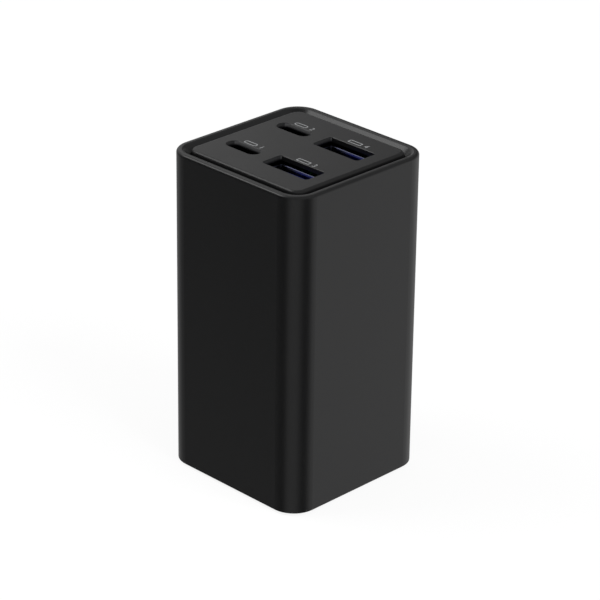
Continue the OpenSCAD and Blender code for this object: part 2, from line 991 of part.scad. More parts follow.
module fuse() {
    color(moulding_black)
        on_input_board(fuse_x, fuse_y)
            rotate([0, 0, 90])
                leaded_block(fuse_l, fuse_w, fuse_h, fuse_pitch);
}

// Disc with two leads, standing on its edge above z = 0
module disc_part(d, t, lift, pitch) {
    translate([0, 0, lift + d / 2])
        rotate([90, 0, 0])
            rotate_extrude()
                disc_profile(d / 2, t);
    pair_of(pitch)
        lead_down(start = lift + d / 2);
}

// Half section of a coated disc, with its rim rounded
module disc_profile(r, t) {
    translate([0, -t / 2])
        square([r - t / 2, t]);
    intersection() {
        translate([r - t / 2, 0])
            circle(t / 2);
        translate([0, -t / 2])
            square([r, t]);
    }
}

module inrush_thermistor() {
    color(thermistor_green)
        on_input_board(thermistor_x, thermistor_y)
            disc_part(thermistor_d, thermistor_t, thermistor_lift, thermistor_pitch);
}

module film_capacitor() {
    color(film_yellow)
        on_input_board(film_x, film_y)
            leaded_block(film_w, film_d, film_h, film_pitch);
}

module choke_core() {
    color(ferrite_grey)
        on_input_board(choke_x, choke_y)
            translate([0, 0, choke_base])
                difference() {
                    cylinder(d = choke_d, h = choke_h);
                    translate([0, 0, -over])
                        cylinder(d = choke_hole_d, h = choke_h + 2 * over);
                }
}

// One turn of wire round the ring's section
module choke_turn() {
    translate([choke_ring_r, 0, choke_base + choke_h / 2])
        rotate([90, 0, 0])
            sweep_round(choke_ring_w + 2 * choke_gap, choke_h + 2 * choke_gap, choke_bend)
                translate([choke_wire_d / 2, 0])
                    circle(d = choke_wire_d);
}

module choke_winding(side) {
    color(copper)
        on_input_board(choke_x, choke_y)
            rotate([0, 0, side == right ? 0 : 180])
                for (i = [0:choke_turns - 1])
                    rotate([0, 0, (i - (choke_turns - 1) / 2) * choke_step]) {
                        choke_turn();
                        if (i == 0 || i == choke_turns - 1)
                            translate([choke_lead_r, 0, 0])
                                lead_down(choke_lead_d, choke_base + choke_h / 2);
                    }
}

// Places children where the windings' four ends go through the board
module choke_ends() {
    for (side = [0, 180], end = [-choke_end_angle, choke_end_angle])
        rotate([0, 0, side + end])
            translate([choke_lead_r, 0, 0])
                children();
}

// Main board and what it carries

module standing_board(y, z, h) {
    translate([-board_half_x, y, z])
        cube([2 * board_half_x, board_t, h]);
    pair_of(board_half_x)
        translate([0, y + board_t / 2, port_board_z + board_t / 2])
            cube([tab_w, board_t, board_t], center = true);
}

module main_board() {
    color(board_green)
        difference() {
            union() {
                standing_board(main_back_y, input_top_z, port_board_z - input_top_z);
                pair_of(board_half_x)
                    translate([0, main_back_y + board_t / 2, input_board_z + board_t / 2])
                        cube([tab_w, board_t, board_t], center = true);
            }
            for (side = [left, right])
                on_main_board(side * bulk_x, bulk_z)
                    pair_of(bulk_pitch)
                        lead_hole();
            transformer_pin_places()
                lead_hole();
            on_main_board(disc_x, core_mid_z)
                rotate([0, 0, 90])
                    pair_of(disc_pitch)
                        lead_hole();
        }
}

module outer_chip(size, z) {
    translate([0, main_back_y - chip_t / 2, z])
        cube([size[0], chip_t, size[1]], center = true);
}

module bridge_rectifier() {
    color(chip_black)
        outer_chip(bridge_size, bridge_z);
}

module power_switch() {
    color(chip_black)
        outer_chip(switch_size, switch_z);
}

// Pad over a chip, a little larger than the chip
module outer_pad(size, z) {
    pad_y = main_back_y - chip_t - front_pad_t / 2;
    translate([0, pad_y, z])
        cube([size[0] + 2 * pad_margin, front_pad_t, size[1] + 2 * pad_margin], center = true);
}

module front_thermal_pads() {
    color(pad_grey) {
        outer_pad(bridge_size, bridge_z);
        outer_pad(switch_size, switch_z);
    }
}

module disc_capacitor() {
    color(disc_blue)
        on_main_board(disc_x, core_mid_z)
            rotate([0, 0, 90])
                disc_part(disc_d, disc_t, disc_lift, disc_pitch);
}

// Half section of a can capacitor with a crimp near its base and a rounded far end
module can_profile(r, h) {
    difference() {
        square([r, h]);
        translate([r + crimp_r - crimp_depth, crimp_h])
            circle(crimp_r);
        translate([r, h])
            rotate(180)
                fillet_waste(can_edge_r);
    }
}

module bulk_capacitor(side) {
    color(can_sleeve)
        on_main_board(side * bulk_x, bulk_z) {
            difference() {
                rotate_extrude()
                    can_profile(bulk_d / 2, bulk_l);
                for (turn = [0, 90])
                    rotate([0, 0, turn])
                        translate([0, 0, bulk_l])
                            cube([vent_l, vent_w, vent_w], center = true);
            }
            pair_of(bulk_pitch)
                lead_down();
        }
}

// Transformer: two core halves meet at the middle, round a bobbin that stands on the main board

module core_half() {
    difference() {
        translate([0, 0, core_h / 4])
            cube([core_w, core_d, core_h / 2], center = true);
        translate([0, 0, core_bar + core_h / 4])
            cube([core_w - 2 * core_leg, core_d + over, core_h / 2], center = true);
    }
    cylinder(d = core_post_d, h = core_h / 2);
}

module transformer_core_lower() {
    color(ferrite_grey)
        translate([0, core_y, core_z])
            core_half();
}

module transformer_core_upper() {
    color(ferrite_grey)
        translate([0, core_y, core_z + core_h])
            rotate([180, 0, 0])
                core_half();
}

module bobbin_flange(z) {
    translate([0, core_y, z]) {
        cylinder(d = flange_d, h = flange_h);
        translate([-rail_w / 2, main_face_y - core_y, 0])
            cube([rail_w, core_y - main_face_y, flange_h]);
    }
}

module pin_rail(z) {
    translate([-rail_w / 2, main_face_y, z])
        cube([rail_w, core_y - main_face_y - core_d / 2 - rail_room, rail_h]);
}

module transformer_bobbin() {
    low = core_z + core_bar;
    high = core_z + core_h - core_bar;
    color(moulding_black) {
        difference() {
            union() {
                bobbin_flange(low);
                bobbin_flange(high - flange_h);
                translate([0, core_y, low])
                    cylinder(d = bobbin_out_d, h = window_h);
                pin_rail(low - rail_h);
                pin_rail(high);
            }
            translate([0, core_y, low - over])
                cylinder(d = bobbin_in_d, h = window_h + 2 * over);
        }
        transformer_pin_places()
            lead_down(start = pin_root);
    }
}

module transformer_pin_places() {
    for (z = [core_z + core_bar - rail_h / 2, core_z + core_h - core_bar + rail_h / 2])
        for (i = [0:transformer_pins - 1])
            on_main_board((i - (transformer_pins - 1) / 2) * transformer_pin_pitch, z)
                children();
}

module transformer_winding() {
    coil_z = core_z + core_bar + flange_h;
    coil_h = window_h - 2 * flange_h;
    color(tape_yellow)
        translate([0, core_y, coil_z])
            difference() {
                cylinder(d = winding_d, h = coil_h);
                translate([0, 0, -over])
                    cylinder(d = bobbin_out_d + 2 * pin_gap, h = coil_h + 2 * over);
            }
}

// Output board and what it carries

module output_board() {
    color(board_green)
        difference() {
            standing_board(output_face_y, output_z, port_board_z - output_z);
            output_cap_places()
                pair_of(output_cap_lead_pitch)
                    lead_hole(output_lead_d);
        }
}

module output_cap_places() {
    for (i = [0:output_cap_count - 1])
        on_output_board((i - (output_cap_count - 1) / 2) * output_cap_pitch, output_cap_z)
            children();
}

module output_capacitors() {
    color(metal_silver)
        output_cap_places() {
            rotate_extrude()
                can_profile(output_cap_d / 2, output_cap_l);
            pair_of(output_cap_lead_pitch)
                translate([0, 0, -board_t])
                    cylinder(d = output_lead_d, h = board_t);
        }
}

module output_inductors() {
    color(ferrite_grey)
        for (side = [left, right])
            on_output_board(side * inductor_x, inductor_z)
                power_inductor(inductor_size);
}

module rectifier_switches() {
    color(chip_black)
        pair_of(2 * rectifier_x)
            translate([0, output_back_y + chip_t / 2, rectifier_z])
                cube([rectifier_size[0], chip_t, rectifier_size[1]], center = true);
}

module rear_thermal_pads() {
    color(pad_grey)
        pair_of(2 * rectifier_x)
            translate([0, output_back_y + chip_t + rear_pad_t / 2, rectifier_z])
                cube([
                    rectifier_size[0] + 2 * pad_margin, rear_pad_t, rectifier_size[1] + 2 * pad_margin
                ], center = true);
}

// Linings between the boards and the sleeve

// Sheet bent round the front and both sides, from inset in, t thick, back to side_y
module front_lining(inset, t, side_y) {
    translate([0, 0, spreader_z])
        linear_extrude(spreader_top_z - spreader_z)
            difference() {
                rounded_rect(body_w - 2 * inset, body_d - 2 * inset, corner_r - inset);
                rounded_rect(body_w - 2 * (inset + t), body_d - 2 * (inset + t), corner_r - inset - t);
                translate([-body_w / 2, side_y])
                    square([body_w, body_d]);
            }
}

module rear_lining(inset, t, w) {
    translate([-w / 2, body_d / 2 - inset - t, rear_spreader_z])
        cube([w, t, spreader_top_z - rear_spreader_z]);
}

module front_heat_spreader() {
    color(metal_silver)
        front_lining(spreader_in, spreader_t, spreader_side_y);
}

module insulation_wrap() {
    color(insulation_white)
        front_lining(insulation_in, insulation_t, insulation_side_y);
}

module rear_heat_spreader() {
    color(metal_silver)
        rear_lining(spreader_in, spreader_t, rear_spreader_w);
}

module rear_insulation() {
    color(insulation_white)
        rear_lining(insulation_in, insulation_t, rear_insulation_w);
}

sleeve();
port_plate();
base_cover();
foot_pad();
inlet_housing();
inlet_pin(left);  // inlet_pin_left
inlet_pin(right);  // inlet_pin_right
large_shell(front);  // usb_a_shell_front
large_shell(rear);  // usb_a_shell_rear
large_tongue(front);  // usb_a_tongue_front
large_tongue(rear);  // usb_a_tongue_rear
large_contacts(front);  // usb_a_contacts_front
large_contacts(rear);  // usb_a_contacts_rear
small_shell(front);  // usb_c_shell_front
small_shell(rear);  // usb_c_shell_rear
small_tongue(front);  // usb_c_tongue_front
small_tongue(rear);  // usb_c_tongue_rear
small_contacts(front);  // usb_c_contacts_front
small_contacts(rear);  // usb_c_contacts_rear
port_board();
port_board_screws();
port_controllers();
port_inductors();
input_board();
fuse();
inrush_thermistor();
film_capacitor();
choke_core();
choke_winding(left);  // choke_winding_left
choke_winding(right);  // choke_winding_right
main_board();
bridge_rectifier();
power_switch();
disc_capacitor();
bulk_capacitor(left);  // bulk_capacitor_left
bulk_capacitor(right);  // bulk_capacitor_right
transformer_core_lower();
transformer_core_upper();
transformer_bobbin();
transformer_winding();
output_board();
output_capacitors();
output_inductors();
rectifier_switches();
front_heat_spreader();
rear_heat_spreader();
insulation_wrap();
rear_insulation();
front_thermal_pads();
rear_thermal_pads();
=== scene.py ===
import json
import math

import bmesh
import bpy
from mathutils import Matrix, Vector


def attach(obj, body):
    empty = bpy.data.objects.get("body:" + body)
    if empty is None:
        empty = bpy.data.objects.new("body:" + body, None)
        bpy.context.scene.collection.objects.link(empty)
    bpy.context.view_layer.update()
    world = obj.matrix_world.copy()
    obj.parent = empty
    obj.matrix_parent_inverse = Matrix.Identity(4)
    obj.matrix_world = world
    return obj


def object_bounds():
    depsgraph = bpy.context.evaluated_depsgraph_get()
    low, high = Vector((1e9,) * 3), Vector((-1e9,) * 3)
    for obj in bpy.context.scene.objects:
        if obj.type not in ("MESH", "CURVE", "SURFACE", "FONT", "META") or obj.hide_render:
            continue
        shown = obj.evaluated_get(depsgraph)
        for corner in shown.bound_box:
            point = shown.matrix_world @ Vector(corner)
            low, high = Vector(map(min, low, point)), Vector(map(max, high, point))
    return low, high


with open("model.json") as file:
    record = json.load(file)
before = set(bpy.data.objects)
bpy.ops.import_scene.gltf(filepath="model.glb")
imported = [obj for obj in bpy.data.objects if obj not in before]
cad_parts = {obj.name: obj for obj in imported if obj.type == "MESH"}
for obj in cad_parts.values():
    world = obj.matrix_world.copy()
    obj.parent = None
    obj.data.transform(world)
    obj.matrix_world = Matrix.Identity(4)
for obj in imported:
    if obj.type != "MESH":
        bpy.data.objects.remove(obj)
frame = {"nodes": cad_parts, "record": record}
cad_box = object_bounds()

MM = 0.001
TOP = cad_box[1].z
STAND = 0.0

# The photograph's camera, worked out from the tower's outline
IMAGE_PX = 600
SENSOR_MM = 36.0
FOCAL_PX = 2807.6
AZIMUTH = math.radians(44.867)
ELEVATION = math.radians(25.258)
ROLL = math.radians(0.772)
DISTANCE = 611.56 * MM
TARGET = Vector((0, 0, 41.6)) * MM
SLIDE_RIGHT = 0.86 * MM
SLIDE_UP = -1.96 * MM
CLIP_START = 0.01
CLIP_END = 20

# Light levels, where 1 is white
WORLD_DIFFUSE = 0.46
BACKGROUND = 1.0
FLOOR_WHITE = (0.82, 0.82, 0.82, 1)
FLOOR_CAMERA_GLOW = 0.885
FLOOR_CAMERA_SHARE = 0.16
FLOOR_HALF = 3.0

# Lamps: name, bearing from the camera's and elevation in degrees, distance and side in metres,
# and watts
LAMPS = (
    ("key_lamp", 48, 38, 1.2, 0.6, 8),
    ("fill_lamp", -98, 48, 1.2, 0.7, 6),
)

# What gloss sees, as rings of soft light one above another. A ring gives its levels by bearing,
# in degrees from the camera's own bearing.
# Floor ring: light thrown back by the floor, much like the low ring's
FLOOR_RING = [
    (-180, 0.50),
    (-125, 0.36),
    (-105, 0.26),
    (-88, 0.20),
    (-60, 0.10),
    (-44, 0.09),
    (-28, 0.44),
    (8, 0.44),
    (34, 0.07),
    (52, 0.06),
    (74, 0.50),
    (90, 0.58),
    (120, 0.58),
    (180, 0.34),
]
# Low ring: a soft box in front, a broad bright wall on the right and darkness on the left
LOW_RING = [
    (-180, 0.36),
    (-125, 0.30),
    (-105, 0.14),
    (-88, 0.060),
    (-60, 0.03),
    (-44, 0.05),
    (-28, 0.42),
    (8, 0.42),
    (34, 0.04),
    (52, 0.04),
    (74, 0.60),
    (90, 0.71),
    (120, 0.66),
    (145, 0.45),
    (180, 0.30),
]
# Middle ring: what the flat top shows, brighter behind the tower on the left than on the right
MIDDLE_RING = [
    (-180, 0.69),
    (-150, 0.50),
    (-115, 0.25),
    (-95, 0.04),
    (-70, 0.02),
    (0, 0.30),
    (60, 0.25),
    (100, 0.30),
    (150, 0.12),
    (180, 0.09),
]
# High ring: a strong soft box on the left, for the edges that face left and up
HIGH_RING = [
    (-180, 0.60),
    (-155, 0.65),
    (-130, 0.9),
    (-113, 3.6),
    (-92, 3.6),
    (-80, 0.4),
    (-60, 0.30),
    (0, 0.50),
    (70, 0.35),
    (110, 0.33),
    (150, 0.22),
    (180, 0.20),
]
# Ceiling: soft light overhead
CEILING = [
    (-180, 0.55),
    (-120, 0.55),
    (-60, 0.25),
    (0, 0.12),
    (60, 0.15),
    (120, 0.45),
    (180, 0.55),
]
# The rings above the floor ring, with the sines of the elevations between which each takes over
# from the one below
STUDIO = (
    (-0.56, -0.32, LOW_RING),
    (0.05, 0.25, MIDDLE_RING),
    (0.51, 0.63, HIGH_RING),
    (0.75, 0.92, CEILING),
)


# Camera, floor and light


def way_out(azimuth, elevation):
    """Direction from the tower towards an azimuth, turned from the front, and an elevation."""
    level = math.cos(elevation)
    return Vector(
        (math.sin(azimuth) * level, -math.cos(azimuth) * level, math.sin(elevation))
    )


def make_camera():
    back = way_out(AZIMUTH, ELEVATION)
    right = Vector((0, 0, 1)).cross(back).normalized()
    up = back.cross(right)
    rolled_right = math.cos(ROLL) * right + math.sin(ROLL) * up
    rolled_up = math.cos(ROLL) * up - math.sin(ROLL) * right
    data = bpy.data.cameras.new("camera")
    data.sensor_width = SENSOR_MM
    data.lens = FOCAL_PX / IMAGE_PX * SENSOR_MM
    data.clip_start = CLIP_START
    data.clip_end = CLIP_END
    camera = bpy.data.objects.new("camera", data)
    place = TARGET + back * DISTANCE + rolled_right * SLIDE_RIGHT + rolled_up * SLIDE_UP
    turn = Matrix((rolled_right, rolled_up, back)).transposed().to_4x4()
    camera.matrix_world = Matrix.Translation(place) @ turn
    bpy.context.scene.collection.objects.link(camera)
    bpy.context.scene.camera = camera


def math_node(nodes, operation, *values):
    node = nodes.new("ShaderNodeMath")
    node.operation = operation
    for socket, value in zip(node.inputs, values):
        if isinstance(value, (int, float)):
            socket.default_value = value
        else:
            node.id_data.links.new(value, socket)
    return node.outputs[0]


def ramp_node(nodes, factor, stops):
    """Colour ramp over stops (place, colour), where a colour is a grey level or three values."""
    node = nodes.new("ShaderNodeValToRGB")
    marks = node.color_ramp.elements
    while len(marks) < len(stops):
        marks.new(0.5)
    for mark, (place, color) in zip(marks, stops):
        mark.position = place
        mark.color = (color, color, color, 1) if isinstance(color, float) else (*color, 1)
    node.id_data.links.new(factor, node.inputs[0])
    return node.outputs[0]


def ring_node(nodes, share, ring):
    """Levels of a ring at a share of the full turn, counted from the camera's back."""
    return ramp_node(nodes, share, [((bearing + 180) / 360, level) for bearing, level in ring])


def studio_for_gloss(nodes, links):
    """Light that glossy rays see: rings of soft light round the horizon under a soft ceiling."""
    direction = nodes.new("ShaderNodeTexCoord").outputs["Generated"]
    parts = nodes.new("ShaderNodeSeparateXYZ")
    links.new(direction, parts.inputs[0])
    x, y, z = parts.outputs
    # Share of the full turn, 0 to 1, from behind the tower round to behind it again
    bearing = math_node(nodes, "ARCTAN2", x, math_node(nodes, "MULTIPLY", y, -1.0))
    turned = math_node(nodes, "SUBTRACT", bearing, AZIMUTH)
    wrapped = math_node(nodes, "WRAP", turned, math.pi, -math.pi)
    share = math_node(nodes, "ADD", math_node(nodes, "DIVIDE", wrapped, 2 * math.pi), 0.5)
    light = ring_node(nodes, share, FLOOR_RING)
    for start, end, ring in STUDIO:
        rise = nodes.new("ShaderNodeMapRange")
        rise.interpolation_type = "SMOOTHSTEP"
        rise.inputs["From Min"].default_value = start
        rise.inputs["From Max"].default_value = end
        links.new(z, rise.inputs["Value"])
        mix = nodes.new("ShaderNodeMix")
        mix.data_type = "RGBA"
        links.new(rise.outputs["Result"], mix.inputs["Factor"])
        links.new(light, mix.inputs["A"])
        links.new(ring_node(nodes, share, ring), mix.inputs["B"])
        light = mix.outputs["Result"]
    return light


def make_world():
    world = bpy.data.worlds.new("studio")
    world.use_nodes = True
    nodes, links = world.node_tree.nodes, world.node_tree.links
    nodes.clear()
    rays = nodes.new("ShaderNodeLightPath").outputs
    diffuse = nodes.new("ShaderNodeBackground")
    diffuse.inputs["Color"].default_value = (WORLD_DIFFUSE, WORLD_DIFFUSE, WORLD_DIFFUSE, 1)
    gloss = nodes.new("ShaderNodeBackground")
    links.new(studio_for_gloss(nodes, links), gloss.inputs["Color"])
    behind = nodes.new("ShaderNodeBackground")
    behind.inputs["Color"].default_value = (BACKGROUND, BACKGROUND, BACKGROUND, 1)
    lit = nodes.new("ShaderNodeMixShader")
    links.new(rays["Is Glossy Ray"], lit.inputs[0])
    links.new(diffuse.outputs[0], lit.inputs[1])
    links.new(gloss.outputs[0], lit.inputs[2])
    seen = nodes.new("ShaderNodeMixShader")
    direct = math_node(nodes, "MAXIMUM", rays["Is Camera Ray"], rays["Is Transmission Ray"])
    links.new(direct, seen.inputs[0])
    links.new(lit.outputs[0], seen.inputs[1])
    links.new(behind.outputs[0], seen.inputs[2])
    out = nodes.new("ShaderNodeOutputWorld")
    links.new(seen.outputs[0], out.inputs[0])
    bpy.context.scene.world = world


def floor_material():
    """Pale floor. To the camera it mostly glows white, so that only the soft shadow shows."""
    material = bpy.data.materials.new("floor")
    material.use_nodes = True
    nodes, links = material.node_tree.nodes, material.node_tree.links
    nodes.clear()
    rays = nodes.new("ShaderNodeLightPath").outputs
    matt = nodes.new("ShaderNodeBsdfDiffuse")
    matt.inputs["Color"].default_value = FLOOR_WHITE
    shadow = nodes.new("ShaderNodeBsdfDiffuse")
    shadow.inputs["Color"].default_value = [FLOOR_CAMERA_SHARE * c for c in FLOOR_WHITE[:3]] + [1]
    glow = nodes.new("ShaderNodeEmission")
    glow.inputs["Strength"].default_value = FLOOR_CAMERA_GLOW
    white = nodes.new("ShaderNodeAddShader")
    links.new(shadow.outputs[0], white.inputs[0])
    links.new(glow.outputs[0], white.inputs[1])
    mix = nodes.new("ShaderNodeMixShader")
    direct = math_node(nodes, "MAXIMUM", rays["Is Camera Ray"], rays["Is Transmission Ray"])
    links.new(direct, mix.inputs[0])
    links.new(matt.outputs[0], mix.inputs[1])
    links.new(white.outputs[0], mix.inputs[2])
    out = nodes.new("ShaderNodeOutputMaterial")
    links.new(mix.outputs[0], out.inputs[0])
    return material


def make_floor():
    signs = ((-1, -1), (1, -1), (1, 1), (-1, 1))
    corners = [(FLOOR_HALF * x, FLOOR_HALF * y, STAND) for x, y in signs]
    mesh = bpy.data.meshes.new("floor")
    mesh.from_pydata(corners, [], [(0, 1, 2, 3)])
    mesh.materials.append(floor_material())
    floor = bpy.data.objects.new("floor", mesh)
    bpy.context.scene.collection.objects.link(floor)
    floor.visible_glossy = False


def make_lamp(name, bearing, elevation, distance, size, watts):
    """Square soft lamp that points at the tower, out of gloss, which sees the rings only."""
    data = bpy.data.lights.new(name, "AREA")
    data.shape = "SQUARE"
    data.size = size
    data.energy = watts
    lamp = bpy.data.objects.new(name, data)
    way = way_out(AZIMUTH + math.radians(bearing), math.radians(elevation))
    lamp.location = TARGET + way * distance
    lamp.rotation_mode = "QUATERNION"
    lamp.rotation_quaternion = way.to_track_quat("Z", "Y")
    lamp.visible_glossy = False
    bpy.context.scene.collection.objects.link(lamp)


# Materials: textures are placed in millimetres on the part itself

# Most of a noise texture's values lie between these
TEXTURE_LOW = 0.3
TEXTURE_HIGH = 0.7

# Blue of the tongues, and the places along X, in millimetres, between which it comes up
TONGUE_BLUE = (0.004, 0.014, 0.21)
# Painted shade on the tongues' left ends, and the place along X where it starts to lift
TONGUE_PAINTED_SHADE = (0.002, 0.005, 0.020)
TONGUE_SHADE_X = 2.4
TONGUE_BLUE_X = 5.2

# Painted shade on opening walls: depths under the plate's top, in mm, between which it comes in
WALL_SHADE_TOP_DEPTH = 0.55
WALL_SHADE_FULL_DEPTH = 0.94
WALL_PAINTED_SHADE = (0.002, 0.002, 0.003)


class Finish:
    """One material under construction, with short ways to add its textures."""

    def __init__(self, name, color, roughness, metallic=0.0, **sockets):
        self.material = bpy.data.materials.new(name)
        self.material.use_nodes = True
        self.nodes = self.material.node_tree.nodes
        self.links = self.material.node_tree.links
        self.shader = self.nodes["Principled BSDF"]
        self.set("Base Color", (*color, 1))
        self.set("Roughness", roughness)
        self.set("Metallic", metallic)
        for socket, value in sockets.items():
            self.set(socket.replace("_", " "), value)
        self.height = None

    def set(self, socket, value):
        self.shader.inputs[socket].default_value = value

    def place(self, stretch=(1, 1, 1)):
        """Position on the part in millimetres, divided along each axis by its stretch."""
        coords = self.nodes.new("ShaderNodeTexCoord").outputs["Object"]
        mapping = self.nodes.new("ShaderNodeMapping")
        mapping.inputs["Scale"].default_value = [1 / MM / s for s in stretch]
        self.links.new(coords, mapping.inputs["Vector"])
        return mapping.outputs[0]

    def noise(self, size, detail=2.0, stretch=(1, 1, 1)):
        """Noise with blobs of about size millimetres."""
        node = self.nodes.new("ShaderNodeTexNoise")
        node.inputs["Scale"].default_value = 1 / size
        node.inputs["Detail"].default_value = detail
        self.links.new(self.place(stretch), node.inputs["Vector"])
        return node.outputs[0]

    def cells(self, size):
        """Distance to the nearest of scattered points about size millimetres apart."""
        node = self.nodes.new("ShaderNodeTexVoronoi")
        node.inputs["Scale"].default_value = 1 / size
        self.links.new(self.place(), node.inputs["Vector"])
        return node.outputs["Distance"]

    def bands(self, size, direction, distortion):
        """Smooth bands size millimetres apart along an axis."""
        node = self.nodes.new("ShaderNodeTexWave")
        node.bands_direction = direction
        # A wave texture repeats 20 / 2 pi times a unit at scale 1
        node.inputs["Scale"].default_value = 2 * math.pi / 20 / size
        node.inputs["Distortion"].default_value = distortion
        self.links.new(self.place(), node.inputs["Vector"])
        return node.outputs["Fac"]

    def along(self, axis, start, end):
        """Factor that runs from 0 at start to 1 at end, in millimetres along an axis."""
        apart = self.nodes.new("ShaderNodeSeparateXYZ")
        self.links.new(self.place(), apart.inputs[0])
        node = self.nodes.new("ShaderNodeMapRange")
        node.inputs["From Min"].default_value = start
        node.inputs["From Max"].default_value = end
        self.links.new(apart.outputs[axis], node.inputs["Value"])
        return node.outputs["Result"]

    def color(self, factor, stops):
        self.links.new(ramp_node(self.nodes, factor, stops), self.shader.inputs["Base Color"])
        return self

    def rough(self, factor, low, high):
        """Roughness from low to high over the middle of a texture's values."""
        node = self.nodes.new("ShaderNodeMapRange")
        node.inputs["From Min"].default_value = TEXTURE_LOW
        node.inputs["From Max"].default_value = TEXTURE_HIGH
        node.inputs["To Min"].default_value = low
        node.inputs["To Max"].default_value = high
        self.links.new(factor, node.inputs["Value"])
        self.links.new(node.outputs["Result"], self.shader.inputs["Roughness"])
        return self

    def bump(self, height, depth):
        """Relief of about depth millimetres, on top of any that is there already."""
        node = self.nodes.new("ShaderNodeBump")
        node.inputs["Strength"].default_value = 1.0
        node.inputs["Distance"].default_value = depth * MM
        self.links.new(height, node.inputs["Height"])
        if self.height is not None:
            self.links.new(self.height, node.inputs["Normal"])
        self.height = node.outputs[0]
        self.links.new(self.height, self.shader.inputs["Normal"])
        return self


def shaded(color, share):
    return tuple(share * c for c in color)


def between(low, high):
    """Stops of a colour ramp over the middle of a texture's values."""
    return [(TEXTURE_LOW, low), (TEXTURE_HIGH, high)]


def moulded(name, color, roughness, grain=0.25, depth=0.004, spread=0.06):
    """Moulded plastic: a fine even spark texture, with slow changes of sheen across the part."""
    finish = Finish(name, color, roughness)
    fine = finish.noise(grain, 3.0)
    finish.color(fine, between(shaded(color, 0.88), shaded(color, 1.12)))
    finish.rough(finish.noise(14, 3.0), roughness - spread / 2, roughness + spread / 2)
    finish.bump(fine, depth)
    return finish


def housing_plastic():
    return moulded("housing_plastic", (0.0058, 0.0059, 0.0062), 0.30, spread=0.03)


def plate_plastic():
    return moulded("plate_plastic", (0.0070, 0.0070, 0.0073), 0.34, grain=0.2, spread=0.03)


def foot_rubber():
    finish = moulded("foot_rubber", (0.018, 0.018, 0.018), 0.8, grain=0.5, depth=0.02)
    return finish.bump(finish.cells(0.8), 0.05)


def inlet_plastic():
    return moulded("inlet_plastic", (0.010, 0.010, 0.011), 0.35)


def black_plastic():
    return moulded("black_plastic", (0.012, 0.012, 0.013), 0.38)


def blue_plastic():
    """Blue of the large ports' tongues, with painted shade darkening their left ends."""
    finish = moulded("blue_plastic", TONGUE_BLUE, 0.4, grain=0.15)
    # Painted shade: the colour runs from near black at the left ends to blue along X
    across = finish.along("X", TONGUE_SHADE_X, TONGUE_BLUE_X)
    return finish.color(across, [(0.0, TONGUE_PAINTED_SHADE), (1.0, TONGUE_BLUE)])


def opening_finish(name, color):
    """Matt wall of an opening, with painted shade that darkens it towards its foot."""
    finish = moulded(name, color, 0.6, grain=0.2, depth=0.008)
    # Painted shade: the wall's colour fades to near black towards its foot
    rise = finish.along("Z", TOP / MM - WALL_SHADE_FULL_DEPTH, TOP / MM - WALL_SHADE_TOP_DEPTH)
    return finish.color(rise, [(0.0, WALL_PAINTED_SHADE), (1.0, color)])


def opening_wall():
    """Walls at the openings' left ends and all round the small ones, paler as painted light."""
    return opening_finish("opening_wall", (0.030, 0.030, 0.031))


def far_wall_painted_light():
    """Long far walls of the small openings, painted paler still as painted light."""
    return opening_finish("far_wall_painted_light", (0.110, 0.110, 0.113))


def plated(name, color, roughness, stretch):
    """Plated or drawn metal: fine streaks along the way that it was made."""
    finish = Finish(name, color, roughness, metallic=1.0)
    streaks = finish.noise(0.08, 3.0, stretch)
    finish.color(finish.noise(1.2), between(shaded(color, 0.9), color))
    finish.rough(streaks, roughness - 0.08, roughness + 0.1)
    finish.bump(streaks, 0.002)
    return finish


def pin_metal():
    return plated("pin_metal", (0.76, 0.75, 0.73), 0.24, (1, 12, 1))


def shell_metal():
    return plated("shell_metal", (0.34, 0.34, 0.36), 0.18, (1, 1, 14))


def rim_metal():
    return plated("rim_metal", (0.048, 0.051, 0.080), 0.3, (4, 4, 1))


def contact_gold():
    return plated("contact_gold", (0.84, 0.60, 0.24), 0.26, (1, 1, 12))


def screw_steel():
    return plated("screw_steel", (0.58, 0.58, 0.57), 0.33, (4, 4, 1))


def spreader_metal():
    return plated("spreader_metal", (0.74, 0.75, 0.76), 0.36, (14, 14, 1))


def can_metal():
    return plated("can_metal", (0.78, 0.78, 0.79), 0.30, (1, 14, 1))


def circuit_board():
    """Green solder mask over copper tracks."""
    finish = Finish("circuit_board", (0.01, 0.09, 0.035), 0.32, Coat_Weight=0.3)
    tracks = finish.nodes.new("ShaderNodeTexBrick")
    tracks.offset = 0.37
    tracks.inputs["Scale"].default_value = 1.0
    tracks.inputs["Mortar Size"].default_value = 0.16
    tracks.inputs["Mortar Smooth"].default_value = 0.1
    tracks.inputs["Brick Width"].default_value = 4.6
    tracks.inputs["Row Height"].default_value = 1.1
    finish.links.new(finish.place(), tracks.inputs["Vector"])
    finish.color(tracks.outputs["Fac"], [(0.2, (0.008, 0.085, 0.035)), (0.8, (0.03, 0.20, 0.07))])
    finish.rough(finish.noise(2.0), 0.26, 0.4)
    finish.bump(tracks.outputs["Fac"], 0.03)
    return finish


def chip_black():
    return moulded("chip_black", (0.016, 0.016, 0.017), 0.5, grain=0.1, depth=0.003)


def ferrite():
    """Ground ceramic with small pores."""
    finish = Finish("ferrite", (0.045, 0.045, 0.05), 0.55)
    pores = finish.cells(0.35)
    finish.color(pores, [(0.05, (0.015, 0.015, 0.017)), (0.3, (0.05, 0.05, 0.055))])
    finish.rough(finish.noise(3.0), 0.45, 0.62)
    finish.bump(pores, 0.02)
    return finish


def copper_wire():
    """Enamelled copper with a clear coat."""
    finish = Finish("copper_wire", (0.60, 0.22, 0.08), 0.25, metallic=1.0, Coat_Weight=0.6)
    finish.color(finish.noise(0.6), between((0.50, 0.16, 0.05), (0.66, 0.26, 0.10)))
    finish.rough(finish.noise(0.2), 0.2, 0.34)
    return finish.bump(finish.noise(0.15), 0.004)


